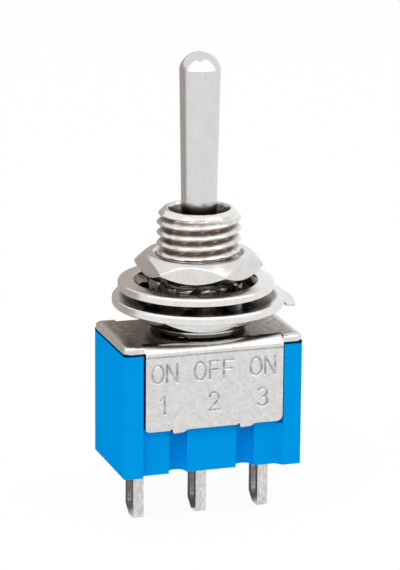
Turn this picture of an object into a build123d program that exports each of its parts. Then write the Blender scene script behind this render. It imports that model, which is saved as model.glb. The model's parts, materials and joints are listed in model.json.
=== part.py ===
from build123d import *
import os
from math import asin, cos, radians, sin, sqrt, tan

# Sub-miniature toggle switch: one pole, three positions (on - off - on), three solder lugs.
# Millimetres.  +Z is the bushing's axis, X runs along the row of lugs and is the way the lever
# swings, and the origin is where the bushing's axis meets the top face of the cover plate.

# ---- cover plate: folded steel strip that clamps the bushing's flange to the case ----
plate_sheet = 0.5
flap_width = 10.3
flap_drop = 6.3
flap_bend = 0.75
flap_corner = 0.45
plate_edge_round = 0.22
plate_corner = 0.5
crimp_tab_width = 1.1
crimp_tab_drop = 0.2
crimp_tab_reach = 0.42
crimp_tab_slit = 0.14
crimp_tab_slit_height = 0.3
crimp_tab_curl = 0.48
crimp_tab_end = 0.275
plate_hole_clearance = 0.05

# ---- case: moulded open-topped box ----
case_length = 13.2
case_depth = 7.5
case_height = 9.15
case_floor = 1.5
case_end_wall = 1.1
case_corner = 0.22
cavity_corner = 0.4
cavity_width = 3.6
flap_side_clearance = 0.08
bend_clearance = 0.02
crimp_clearance = 0.05
groove_width = 1.32
groove_depth = 0.8
groove_offset = 2.5
slope_width = 0.5
seal_depth = 0.5
seal_margin = 0.55
seal_sink = 0.06
seal_corner = 0.3

# ---- bushing: turned and threaded M6 x 0.75, with a square flange under the plate ----
thread_major_radius = 3.0
thread_pitch = 0.75
bushing_height = 8.78
bushing_tip_chamfer = 0.5
mouth_radius = 2.2
throat_radius = 1.62
flange_length = 10.2
flange_width = 5.2
flange_thickness = 1.0
flange_corner = 0.4
flange_clearance = 0.05
keyway_width = 0.8
keyway_depth = 0.45
throat_land = 0.05
pin_slot_end_clearance = 0.06

# ---- stack of fastenings on the bushing, from the plate upwards ----
lower_nut_lift = 0.15
nut_across_flats = 8.0
nut_thickness = 1.65
nut_face_radius = 3.75
nut_chamfer_angle = 42.0
nut_countersink_radius = 3.2
upper_nut_turn = 6.0
lower_nut_turn = 12.0
ring_radius = 6.15
ring_thickness = 0.65
stamped_edge_bevel = 0.1
ring_bore_clearance = 0.06
ring_tab_width = 2.2
ring_tab_reach = 0.8
ring_tab_drop = 1.15
ring_tab_sheet = 0.55
ring_tab_inner_bend = 0.15
ring_tab_root = 0.6
ring_key_clearance = 0.06
ring_key_root = 0.3
washer_radius = 5.55
washer_rim_width = 1.15
washer_thickness = 0.6
washer_height = 1.5
washer_teeth = 8
washer_tooth_width = 1.45
washer_tooth_twist = 40.0
washer_tooth_root = 0.45
washer_tooth_neck = 0.75
washer_seat_gap = 0.01
washer_bore_clearance = 0.32
washer_rim_rise = 0.08
washer_slack = 0.2

# ---- lever: turned from one bar, with its ball, hollow tail and cross pin ----
lever_height = 19.95
lever_dome_height = 1.17
lever_tip_radius = 1.46
lever_mouth_radius = 1.26
lever_neck_radius = 1.2
lever_neck_height = 6.14
ball_radius = 2.0
pivot_height = 4.9
lever_throw = 12.5
tail_radius = 1.1
tail_end = -3.4
tail_bore_radius = 0.75
tail_bore_end = 3.0
tail_drill_angle = 30.0
pin_radius = 0.4
pin_half_length = 2.2
running_clearance = 0.03
ball_clearance = 0.04
sweep_clearance = 0.07

# ---- plunger and its spring, in the lever's tail ----
plunger_clearance = 0.05
plunger_collar_radius = 1.05
plunger_collar_height = 0.5
plunger_travel = 0.8
plunger_end_clearance = 0.1
plunger_stem_chamfer = 0.12
plunger_stem_top = -1.6
plunger_tip_radius = 0.75
plunger_gap = 0.05
spring_wire_radius = 0.1
spring_turns = 5
spring_wire_sides = 5
spring_side_clearance = 0.05

# ---- contacts ----
lug_pitch = 4.7
lug_sheet = 0.77
lug_width = 1.9
lug_length = 3.95
lug_root = 0.1
lug_hole_width = 0.95
lug_hole_height = 2.3
lug_hole_margin = 0.65
lug_corner_rise = 0.6
lug_corner_run = 0.8
lug_corner_round = 0.18
shelf_width = 2.6
shelf_inner_end = 2.3
shelf_bend = 0.75
centre_head_width = 3.3
contact_offset = 3.0
contact_radius = 0.75
contact_height = 0.35
contact_bevel = 0.15
contact_gap = 0.04
rocker_ratio = 0.5
rocker_half_length = 3.8
rocker_width = 3.0
rocker_sheet = 0.4
rocker_flange = 0.35
rocker_ear_radius = 0.85
rocker_flange_half_length = 2.1
rocker_flange_drop = 0.1
rocker_edge_gap = 0.2
detent_depth = 0.07
detent_radius = 3.0
rocker_end_round = 0.6
notch_flare = 9.0

# ---- places worked out from the sizes above ----
case_top = -plate_sheet
case_bottom = case_top - case_height
floor_top = case_bottom + case_floor
half_depth = case_depth / 2
panel_face = half_depth - plate_sheet
flange_bottom = case_top - flange_thickness
thread_pitch_radius = thread_major_radius - 0.3248 * thread_pitch
lower_nut_bottom = lower_nut_lift
lower_nut_top = lower_nut_bottom + nut_thickness
ring_top = lower_nut_top + ring_thickness
upper_nut_bottom = ring_top + washer_height
upper_nut_top = upper_nut_bottom + nut_thickness
bore_radius = ball_radius + ball_clearance
plunger_stem_radius = tail_bore_radius - plunger_clearance
spring_coil_radius = tail_bore_radius - spring_side_clearance - spring_wire_radius
lug_end = case_bottom - lug_length
shelf_top = floor_top + lug_sheet
rocker_throw = lever_throw * rocker_ratio
rocker_gap = (contact_offset + contact_radius) * sin(radians(rocker_throw)) + contact_gap
web_bottom = shelf_top + contact_height + rocker_gap + contact_height
web_top = web_bottom + rocker_sheet
saddle_radius = lug_sheet / 2
rocker_pivot = web_bottom - rocker_edge_gap - saddle_radius
plunger_tip = web_top - detent_depth + plunger_gap
collar_top = tail_end - plunger_travel - plunger_end_clearance


def block(x0, x1, y0, y1, z0, z1):
    """Box between two corners."""
    size = Box(x1 - x0, y1 - y0, z1 - z0)
    return Pos((x0 + x1) / 2, (y0 + y1) / 2, (z0 + z1) / 2) * size


def disc(radius, z0, z1, x=0.0, y=0.0):
    """Upright cylinder between two heights."""
    return Pos(x, y, (z0 + z1) / 2) * Cylinder(radius, z1 - z0)


def turned(points):
    """Solid turned about the Z axis from a closed outline of (radius, height) points."""
    outline = Polyline(*[(r, z) for r, z in points], close=True)
    return revolve(Plane.XZ * make_face(outline), Axis.Z, 360)


def cut_from_side(outline, half_width):
    """Prism of an outline in the XZ plane, to both sides of it by half_width."""
    return extrude(Plane.XZ * make_face(outline), half_width, both=True)


def quarter_bend(centre, radius, start, end):
    """Quarter of a circle round a centre, from one axis direction to the next."""
    between = ((start[0] + end[0]) * sqrt(0.5), (start[1] + end[1]) * sqrt(0.5))
    points = [(centre[0] + radius * d[0], centre[1] + radius * d[1]) for d in (start, between, end)]
    return ThreePointArc(*points)


def front_and_back(shape):
    """A front feature, and its copy turned half a turn for the back."""
    return shape + Rot(0, 0, 180) * shape


def hexagon_nut(z_bottom, turn):
    """Hexagonal nut, its corners turned to a cone from each face and its bore countersunk."""
    z_top = z_bottom + nut_thickness
    hexagon = RegularPolygon(nut_across_flats / 2, 6, major_radius=False, rotation=turn)
    body = extrude(Pos(0, 0, z_bottom) * hexagon, nut_thickness)
    rise = tan(radians(nut_chamfer_angle))
    reach = nut_face_radius + nut_thickness / 2 / rise
    body = body & turned([
        (0, z_bottom),
        (nut_face_radius, z_bottom),
        (reach, (z_bottom + z_top) / 2),
        (nut_face_radius, z_top),
        (0, z_top),
    ])
    sink = nut_countersink_radius - thread_pitch_radius
    bore = disc(thread_pitch_radius, z_bottom, z_top)
    for face, inward in ((z_bottom, 1), (z_top, -1)):
        bore += turned([
            (0, face),
            (nut_countersink_radius, face),
            (thread_pitch_radius, face + inward * sink),
            (0, face + inward * sink),
        ])
    return body - bore


def lever_sweep(radius, z_low):
    """Space that a tail of this radius sweeps below the pivot, over the lever's whole throw."""
    length = (pivot_height - z_low) / cos(radians(lever_throw)) + radius
    side = tan(radians(lever_throw)) * (pivot_height - z_low)
    fan = Polyline((0, pivot_height), (side, z_low), (-side, z_low), close=True)
    space = cut_from_side(fan, radius)
    for tilt in (-lever_throw, 0, lever_throw):
        tail = Pos(0, 0, -length / 2) * Cylinder(radius, length)
        space += Pos(0, 0, pivot_height) * Rot(0, tilt, 0) * tail
    return space & block(-length, length, -length, length, z_low, pivot_height)


def make_case():
    """Open-topped case with flap pockets, crimp grooves, flange seat and lug slots."""
    half = case_length / 2
    body = block(-half, half, -half_depth, half_depth, case_bottom, case_top)
    body = fillet(body.edges().filter_by(Axis.Z), case_corner)
    pocket_half = flap_width / 2 + flap_side_clearance
    pocket = block(-pocket_half, pocket_half, -half_depth - 1, -panel_face, case_bottom - 1, case_top + 1)
    slope_top = -flap_drop - crimp_tab_drop - crimp_clearance
    slope = Polyline(
        (pocket_half, -half_depth),
        (pocket_half, -panel_face),
        (pocket_half - slope_width, -panel_face),
        close=True,
    )
    slope = extrude(Pos(0, 0, case_bottom) * make_face(slope), slope_top - case_bottom)
    pocket -= slope
    body -= front_and_back(pocket)
    bend_room = flap_bend - plate_sheet + bend_clearance
    bevel = Polyline(
        (-panel_face - 0.1, case_top + 0.1),
        (-panel_face + bend_room, case_top + 0.1),
        (-panel_face + bend_room, case_top),
        (-panel_face, case_top - bend_room),
        (-panel_face - 0.1, case_top - bend_room),
        close=True,
    )
    body -= front_and_back(extrude(Plane.YZ * make_face(bevel), pocket_half, both=True))
    groove_radius = ((groove_width / 2) ** 2 + groove_depth ** 2) / (2 * groove_depth)
    groove_y = -panel_face + groove_depth - groove_radius
    for x in (-groove_offset, groove_offset):
        groove_top = -flap_drop + crimp_tab_slit_height + crimp_clearance
        groove = disc(groove_radius, case_bottom - 1, groove_top, x, groove_y)
        body -= front_and_back(groove)
    inner = half - case_end_wall
    cavity = block(-inner, inner, -cavity_width / 2, cavity_width / 2, floor_top, case_top + 1)
    cavity = fillet(cavity.edges().filter_by(Axis.Z), cavity_corner)
    seat_x = flange_length / 2 + flange_clearance
    seat_y = flange_width / 2 + flange_clearance
    seat = block(-seat_x, seat_x, -seat_y, seat_y, flange_bottom, case_top + 1)
    body -= cavity + seat
    for x in (-lug_pitch, 0, lug_pitch):
        body -= lug_slot(x, case_bottom - 1, floor_top + 1)
        body -= seal_block(x, case_bottom - 1)
    return body


def lug_slot(x, z0, z1):
    """Prism of a lug's section, where the lug passes through the floor."""
    return block(x - lug_sheet / 2, x + lug_sheet / 2, -lug_width / 2, lug_width / 2, z0, z1)


def seal_block(x, z0):
    """Well round a lug in the case's underside."""
    half_x = lug_sheet / 2 + seal_margin
    half_y = lug_width / 2 + seal_margin
    well = block(x - half_x, x + half_x, -half_y, half_y, z0, case_bottom + seal_depth)
    return fillet(well.edges().filter_by(Axis.Z), seal_corner)


def make_seal(x):
    """Resin cast round a lug in its well."""
    return seal_block(x, case_bottom + seal_sink) - lug_slot(x, case_bottom - 1, floor_top)


def make_cover_plate():
    """Folded plate: flat top with two ears at each end, and a flap down the front and back."""
    half = case_length / 2
    top = block(-half, half, -half_depth, half_depth, -plate_sheet, 0)
    top = fillet(top.edges().filter_by(Axis.Z), plate_corner)
    upper = top.faces().sort_by(Axis.Z)[-1].edges()
    top = fillet(upper, plate_edge_round)
    flap_half = flap_width / 2
    y_out = -half_depth
    y_in = -panel_face
    bend_y = y_out + flap_bend
    root_y = bend_y + plate_sheet
    section = Polyline((bend_y, 0), (root_y, 0), (root_y, -plate_sheet), (bend_y, -plate_sheet))
    section += quarter_bend((bend_y, -flap_bend), flap_bend - plate_sheet, (0, 1), (-1, 0))
    section += Polyline((y_in, -flap_bend), (y_in, -flap_drop), (y_out, -flap_drop), (y_out, -flap_bend))
    section += quarter_bend((bend_y, -flap_bend), flap_bend, (-1, 0), (0, 1))
    flap = extrude(Plane.YZ * make_face(section), flap_half, both=True)
    lower = [e for e in flap.edges().filter_by(Axis.Y) if e.center().Z < -flap_drop + 0.01]
    flap = fillet(lower, flap_corner)
    room = block(-flap_half, flap_half, y_out - 1, root_y, -plate_sheet - 1, 1)
    for x in (-groove_offset, groove_offset):
        slit_half = crimp_tab_width / 2 + crimp_tab_slit
        flap -= block(x - slit_half, x + slit_half, y_out - 1, y_in + 1,
                      -flap_drop - 1, -flap_drop + crimp_tab_slit_height)
        flap += crimp_tab(x)
    top -= front_and_back(room)
    plate = top + front_and_back(flap)
    return plate - disc(thread_major_radius + plate_hole_clearance, -1, 1)


def crimp_tab(x):
    """Tongue at a flap's lower edge, curled inwards into the case's groove."""
    y_out = -half_depth
    y_in = -panel_face
    z_root = -flap_drop + crimp_tab_slit_height
    z_low = -flap_drop - crimp_tab_drop
    tip_y = y_in + crimp_tab_reach
    curl_y = y_out + crimp_tab_curl
    curl_z = z_low + crimp_tab_curl
    section = Polyline(
        (y_out, curl_z),
        (y_out, z_root),
        (y_in, z_root),
        (tip_y, z_root - crimp_tab_end / 2),
        (tip_y, z_low + crimp_tab_end / 2),
        (curl_y, z_low),
    )
    section += quarter_bend((curl_y, curl_z), crimp_tab_curl, (0, -1), (-1, 0))
    return Pos(x, 0, 0) * extrude(Plane.YZ * make_face(section), crimp_tab_width / 2, both=True)


def make_bushing():
    """Threaded bushing, drawn at the thread's major radius where it shows, with its flange."""
    shoulder = bushing_height - bushing_tip_chamfer
    body = turned([
        (0, case_top),
        (thread_major_radius, case_top),
        (thread_major_radius, lower_nut_bottom),
        (thread_pitch_radius, lower_nut_bottom),
        (thread_pitch_radius, lower_nut_top),
        (thread_major_radius, lower_nut_top),
        (thread_major_radius, upper_nut_bottom),
        (thread_pitch_radius, upper_nut_bottom),
        (thread_pitch_radius, upper_nut_top),
        (thread_major_radius, upper_nut_top),
        (thread_major_radius, shoulder),
        (thread_major_radius - bushing_tip_chamfer, bushing_height),
        (0, bushing_height),
    ])
    flange = block(-flange_length / 2, flange_length / 2, -flange_width / 2, flange_width / 2,
                   flange_bottom, case_top)
    flange = fillet(flange.edges().filter_by(Axis.Z), flange_corner)
    body += flange
    socket_rise = sqrt(bore_radius ** 2 - throat_radius ** 2)
    throat_height = pivot_height + socket_rise
    mouth = turned([
        (0, throat_height - throat_land),
        (throat_radius, throat_height - throat_land),
        (throat_radius, throat_height),
        (mouth_radius, bushing_height),
        (mouth_radius, bushing_height + 1),
        (0, bushing_height + 1),
    ])
    socket = Pos(0, 0, pivot_height) * Sphere(bore_radius)
    bore = disc(bore_radius, flange_bottom - 1, pivot_height)
    body -= mouth + socket + bore
    body -= lever_sweep(tail_radius + sweep_clearance, flange_bottom - 1)
    body -= pin_slot()
    keyway_floor = thread_major_radius - keyway_depth
    body -= block(-keyway_width / 2, keyway_width / 2, keyway_floor, thread_major_radius + 1,
                  0, bushing_height + 1)
    return body


def pin_slot():
    """Slot across the bore, open below, in which the lever's cross pin hangs and turns."""
    half = pin_radius + running_clearance
    reach = pin_half_length + pin_slot_end_clearance
    slot = block(-half, half, -reach, reach, flange_bottom - 1, pivot_height)
    return slot + Pos(0, 0, pivot_height) * Rot(90, 0, 0) * Cylinder(half, 2 * reach)


def make_locating_ring():
    """Flat ring with a key in the bushing's keyway and a tab bent down at +X."""
    bore = thread_major_radius + ring_bore_clearance
    bottom = ring_top - ring_thickness
    ring = disc(ring_radius, bottom, ring_top)
    ring = chamfer(ring.edges(), stamped_edge_bevel)
    ring -= disc(bore, bottom - 1, ring_top + 1)
    key_half = keyway_width / 2 - ring_key_clearance
    key_tip = thread_major_radius - keyway_depth + ring_key_clearance
    ring += block(-key_half, key_half, key_tip, bore + ring_key_root, bottom, ring_top)
    outer = ring_radius + ring_tab_reach
    inner = outer - ring_tab_sheet
    root = ring_radius - ring_tab_root
    under = ring_top - ring_tab_sheet
    bend_x = inner - ring_tab_inner_bend
    bend_z = under - ring_tab_inner_bend
    low = ring_top - ring_tab_drop
    section = Polyline((bend_x, ring_top), (root, ring_top), (root, under), (bend_x, under))
    section += quarter_bend((bend_x, bend_z), ring_tab_inner_bend, (0, 1), (1, 0))
    section += Polyline((inner, bend_z), (inner, low), (outer, low), (outer, bend_z))
    section += quarter_bend((bend_x, bend_z), ring_tab_inner_bend + ring_tab_sheet, (1, 0), (0, 1))
    tab = extrude(Plane.XZ * make_face(section), ring_tab_width / 2, both=True)
    return ring + tab


def make_lock_washer():
    """Internal-tooth lock washer: a flat rim with twisted teeth that bite above and below.

    It lies off centre by its slack round the bushing, as one that was dropped on does."""
    middle = ring_top + washer_height / 2
    rim_middle = middle + washer_rim_rise
    rim_inner = washer_radius - washer_rim_width
    tip = thread_major_radius + washer_bore_clearance
    rim = disc(washer_radius, rim_middle - washer_thickness / 2, rim_middle + washer_thickness / 2)
    rim = chamfer(rim.edges(), stamped_edge_bevel)
    rim -= disc(rim_inner, middle - 1, middle + 1)
    tooth = twisted_tooth(rim_inner, tip)
    for number in range(washer_teeth):
        turn = (number + 0.5) * 360 / washer_teeth
        rim += Pos(0, 0, middle) * Rot(0, 0, turn) * tooth
    return Pos(-washer_slack, 0, 0) * rim


def twisted_tooth(rim_inner, tip):
    """One tooth along +X: flat where it leaves the rim, then turned about its own length."""
    twist = radians(washer_tooth_twist)
    height = washer_tooth_width * sin(twist) + washer_thickness * cos(twist)
    squeeze = (washer_height - 2 * washer_seat_gap) / height
    stations = (
        (rim_inner + washer_tooth_root, 0.0, 1.0),
        (rim_inner, 0.0, 1.0),
        (rim_inner - washer_tooth_neck, 1.0, squeeze),
        (tip, 1.0, squeeze),
    )
    sections = []
    for radius, share, scale in stations:
        rise = washer_rim_rise * (1 - share)
        place = Plane(origin=(radius, 0, rise), x_dir=(0, 1, 0), z_dir=(1, 0, 0))
        face = Rectangle(washer_tooth_width * scale, washer_thickness * scale)
        sections.append(place * Rot(0, 0, share * washer_tooth_twist) * face)
    return loft(sections, ruled=True)


def make_lever():
    """Turned lever: domed tapered handle, ball, and a tail bored for the spring and plunger."""
    dome_base = lever_height - lever_dome_height
    dome_radius = (lever_tip_radius ** 2 + lever_dome_height ** 2) / (2 * lever_dome_height)
    dome_half = asin(lever_tip_radius / dome_radius) / 2
    shoulder_height = lever_height - dome_radius * (1 - cos(dome_half))
    outline = Polyline((0, tail_end), (tail_radius, tail_end), (tail_radius, pivot_height),
                       (lever_neck_radius, pivot_height), (lever_neck_radius, lever_neck_height),
                       (lever_mouth_radius, bushing_height), (lever_tip_radius, dome_base))
    outline += ThreePointArc((lever_tip_radius, dome_base),
                             (dome_radius * sin(dome_half), shoulder_height), (0, lever_height))
    outline += Line((0, lever_height), (0, tail_end))
    body = revolve(Plane.XZ * make_face(outline), Axis.Z, 360)
    body += Pos(0, 0, pivot_height) * Sphere(ball_radius)
    bore_cone = tail_bore_radius * tan(radians(tail_drill_angle))
    body -= turned([
        (0, tail_end - 1),
        (tail_bore_radius, tail_end - 1),
        (tail_bore_radius, tail_bore_end),
        (0, tail_bore_end + bore_cone),
    ])
    body -= make_pivot_pin()
    return body


def make_pivot_pin():
    """Cross pin pressed through the ball, with both ends in the bushing's slot."""
    return Pos(0, 0, pivot_height) * Rot(90, 0, 0) * Cylinder(pin_radius, 2 * pin_half_length)


def make_plunger():
    """Round-nosed plunger: stem in the lever's tail, collar below it, nose on the rocker."""
    nose_centre = plunger_tip + plunger_tip_radius
    body = disc(plunger_stem_radius, collar_top, plunger_stem_top)
    body = chamfer(body.edges().sort_by(Axis.Z)[-1], plunger_stem_chamfer)
    body += disc(plunger_collar_radius, collar_top - plunger_collar_height, collar_top)
    body += disc(plunger_tip_radius, nose_centre, collar_top - plunger_collar_height)
    return body + Pos(0, 0, nose_centre) * Sphere(plunger_tip_radius)


def make_plunger_spring():
    """Coil spring between the bore's end and the plunger's stem."""
    low = plunger_stem_top + spring_wire_radius
    high = tail_bore_end - spring_wire_radius
    path = Pos(0, 0, low) * Helix((high - low) / spring_turns, high - low, spring_coil_radius)
    section = Plane(path @ 0, z_dir=path % 0) * RegularPolygon(spring_wire_radius, spring_wire_sides)
    return sweep(section, path, is_frenet=True)


def make_rocker():
    """Pressed rocker: web with a detent dent, and side ears notched to sit on the saddle."""
    web = block(-rocker_half_length, rocker_half_length, -rocker_width / 2, rocker_width / 2,
                web_bottom, web_top)
    web = fillet(web.edges().filter_by(Axis.Z), rocker_end_round)
    along_y = Rot(90, 0, 0)
    dent_centre = web_top - detent_depth + detent_radius
    dent = Pos(0, 0, dent_centre) * along_y * Cylinder(detent_radius, rocker_width)
    bulge = Pos(0, 0, dent_centre) * along_y * Cylinder(detent_radius + rocker_sheet, rocker_width)
    reach = detent_radius + rocker_sheet
    bulge = bulge & block(-reach, reach, -rocker_width / 2, rocker_width / 2,
                          web_bottom - detent_depth, web_top)
    body = web + bulge - dent
    ear_top = web_bottom + rocker_sheet / 4
    shoulder = web_bottom - rocker_flange_drop
    flange = Polyline(
        (-rocker_flange_half_length, ear_top),
        (rocker_flange_half_length, ear_top),
        (rocker_flange_half_length, shoulder),
        (rocker_ear_radius, rocker_pivot),
        (-rocker_ear_radius, rocker_pivot),
        (-rocker_flange_half_length, shoulder),
        close=True,
    )
    ear = cut_from_side(flange, rocker_width / 2)
    ear += Pos(0, 0, rocker_pivot) * along_y * Cylinder(rocker_ear_radius, rocker_width)
    inner = rocker_width / 2 - rocker_flange
    ear_bottom = rocker_pivot - rocker_ear_radius
    reach = rocker_half_length
    ear = ear & block(-reach, reach, -rocker_width, rocker_width, ear_bottom, ear_top)
    ear -= block(-reach, reach, -inner, inner, ear_bottom, ear_top)
    body += ear
    notch_radius = saddle_radius + running_clearance
    notch_depth = rocker_ear_radius + rocker_sheet
    flare = tan(radians(notch_flare)) * notch_depth
    low = rocker_pivot - notch_depth
    notch = Polyline(
        (-notch_radius, rocker_pivot),
        (notch_radius, rocker_pivot),
        (notch_radius + flare, low),
        (-notch_radius - flare, low),
        close=True,
    )
    body -= cut_from_side(notch, rocker_width)
    return body - Pos(0, 0, rocker_pivot) * along_y * Cylinder(notch_radius, 2 * rocker_width)


def contact_button(x, z_base, upwards):
    """Riveted contact button: a low disc with a bevelled face."""
    z_face = z_base + upwards * contact_height
    button = disc(contact_radius, min(z_base, z_face), max(z_base, z_face), x)
    face = button.edges().filter_by(GeomType.CIRCLE).sort_by(Axis.Z)[-1 if upwards > 0 else 0]
    return chamfer(face, contact_bevel)


def lug_blade(x, z_top):
    """Blade of a solder lug, with its wire hole and the back corner of its tip clipped."""
    half = lug_width / 2
    blade = block(x - lug_sheet / 2, x + lug_sheet / 2, -half, half, lug_end, z_top)
    cut = Polyline(
        (half, lug_end + lug_corner_rise),
        (half - lug_corner_run, lug_end),
        (half, lug_end),
        close=True,
    )
    blade -= Pos(x, 0, 0) * extrude(Plane.YZ * make_face(cut), lug_sheet, both=True)
    corners = blade.edges().filter_by(Axis.X)
    blade = fillet([e for e in corners if e.center().Z < z_top - lug_length / 2], lug_corner_round)
    hole_low = lug_end + lug_hole_margin
    hole = SlotOverall(lug_hole_height, lug_hole_width, rotation=90)
    hole = extrude(Plane.YZ * hole, lug_sheet, both=True)
    return blade - Pos(x, 0, hole_low + lug_hole_height / 2) * hole


def make_side_terminal(side):
    """Outer lug: the blade passes up through the floor and folds inwards as the contact shelf."""
    x = side * lug_pitch
    outer = side * (lug_pitch + lug_sheet / 2)
    inner = side * shelf_inner_end
    ends = sorted((outer, inner))
    shelf = block(*ends, -shelf_width / 2, shelf_width / 2, floor_top, shelf_top)
    upper = shelf.edges().filter_by(Axis.Y).group_by(Axis.Z)[-1]
    bend = [e for e in upper if abs(e.center().X - outer) < 0.01]
    shelf = fillet(bend, shelf_bend)
    return shelf + lug_blade(x, floor_top + lug_root)


def make_centre_terminal():
    """Middle lug: a flat blank whose wide head has the rounded edge that the rocker sits on."""
    half = centre_head_width / 2
    head = block(-lug_sheet / 2, lug_sheet / 2, -half, half, floor_top, rocker_pivot)
    head += Pos(0, 0, rocker_pivot) * Rot(90, 0, 0) * Cylinder(saddle_radius, centre_head_width)
    return head + lug_blade(0, floor_top + lug_root)


def build():
    """All the pieces by name, each a solid in its place in the assembled switch."""
    rocker_contacts = {
        "left_rocker_contact": contact_button(-contact_offset, web_bottom, -1),
        "right_rocker_contact": contact_button(contact_offset, web_bottom, -1),
    }
    fixed_contacts = {
        "left_fixed_contact": contact_button(-contact_offset, shelf_top, 1),
        "right_fixed_contact": contact_button(contact_offset, shelf_top, 1),
    }
    return {
        "case": make_case(),
        "cover_plate": make_cover_plate(),
        "bushing": make_bushing(),
        "lower_nut": hexagon_nut(lower_nut_bottom, lower_nut_turn),
        "locating_ring": make_locating_ring(),
        "lock_washer": make_lock_washer(),
        "upper_nut": hexagon_nut(upper_nut_bottom, upper_nut_turn),
        "lever": make_lever(),
        "pivot_pin": make_pivot_pin(),
        "plunger": make_plunger(),
        "plunger_spring": make_plunger_spring(),
        "rocker": make_rocker(),
        **rocker_contacts,
        **fixed_contacts,
        "left_terminal": make_side_terminal(-1),
        "centre_terminal": make_centre_terminal(),
        "right_terminal": make_side_terminal(1),
        "left_seal": make_seal(-lug_pitch),
        "centre_seal": make_seal(0),
        "right_seal": make_seal(lug_pitch),
    }


os.makedirs("parts", exist_ok=True)
for name, shape in build().items():
    export_step(shape, f"parts/{name}.step")
    print(f"{name:22s} volume {shape.volume:9.3f} mm3")
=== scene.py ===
import bmesh
import bpy
import json
import math
import numpy as np
from mathutils import Matrix, Vector


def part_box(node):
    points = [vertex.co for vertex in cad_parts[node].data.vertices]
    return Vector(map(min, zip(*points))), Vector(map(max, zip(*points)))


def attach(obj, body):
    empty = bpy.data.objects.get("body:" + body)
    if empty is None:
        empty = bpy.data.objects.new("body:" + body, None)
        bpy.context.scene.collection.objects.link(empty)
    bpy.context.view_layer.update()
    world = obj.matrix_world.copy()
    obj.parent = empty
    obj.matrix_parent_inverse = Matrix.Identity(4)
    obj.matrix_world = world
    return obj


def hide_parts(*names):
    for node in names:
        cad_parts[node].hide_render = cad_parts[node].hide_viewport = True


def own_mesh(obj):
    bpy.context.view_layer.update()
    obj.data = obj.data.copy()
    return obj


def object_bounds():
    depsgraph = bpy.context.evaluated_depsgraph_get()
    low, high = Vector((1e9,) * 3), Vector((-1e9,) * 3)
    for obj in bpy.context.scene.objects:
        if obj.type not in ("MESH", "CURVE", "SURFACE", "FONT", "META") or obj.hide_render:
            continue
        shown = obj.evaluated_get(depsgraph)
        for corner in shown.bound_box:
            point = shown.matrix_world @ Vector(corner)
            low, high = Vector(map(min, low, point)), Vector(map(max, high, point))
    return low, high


# Sub-miniature toggle switch, one pole, on - off - on.  Object coordinates are metres in the
# frame of the solids; sizes below are millimetres and are turned to metres by MM.
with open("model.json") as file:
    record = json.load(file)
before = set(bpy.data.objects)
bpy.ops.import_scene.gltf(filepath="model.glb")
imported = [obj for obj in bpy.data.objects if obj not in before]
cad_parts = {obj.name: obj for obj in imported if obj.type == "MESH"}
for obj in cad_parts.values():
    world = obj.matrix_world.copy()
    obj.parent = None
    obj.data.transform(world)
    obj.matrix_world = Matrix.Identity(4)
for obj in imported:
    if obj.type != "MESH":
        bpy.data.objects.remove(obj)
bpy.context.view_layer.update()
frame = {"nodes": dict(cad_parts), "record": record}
MM = 0.001


# ---- Case ----
# The open-topped blue box, moulded in one shot from nylon.  It holds the contacts, and the plate
# is crimped over it.
CASE_BLUE = "#02a5f7"
CASE_CLOUD = "#029ff1"
CASE_CLOUD_MM = 2.5
CASE_GRAIN_MM = 0.12
FILM_RAGS_MM = 0.45


def linear(colour):
    """An sRGB hex colour as linear red, green, blue and alpha: c / 12.92 in the dark toe, and
    ((c + 0.055) / 1.055) to the power 2.4 above it."""
    parts = [int(colour[i:i + 2], 16) / 255 for i in (1, 3, 5)]
    return [c / 12.92 if c <= 0.04045 else ((c + 0.055) / 1.055) ** 2.4 for c in parts] + [1.0]


def add_node(material, kind, settings=None, links=None):
    """Adds a node; settings are its properties or input values, links are sockets to its inputs."""
    node = material.node_tree.nodes.new(kind)
    for key, value in (settings or {}).items():
        if isinstance(key, str) and hasattr(node, key):
            setattr(node, key, value)
        else:
            node.inputs[key].default_value = value
    for key, socket in (links or {}).items():
        material.node_tree.links.new(socket, node.inputs[key])
    return node


def new_material(name, settings):
    """A material with one Principled shader and its constant values; returns both."""
    material = bpy.data.materials.new(name)
    material.use_nodes = True
    shader = material.node_tree.nodes["Principled BSDF"]
    for key, value in settings.items():
        shader.inputs[key].default_value = value
    return material, shader


def per_metre(size_mm):
    """Scale of a noise whose features are this many millimetres across."""
    return 1 / (size_mm * MM)


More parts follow.
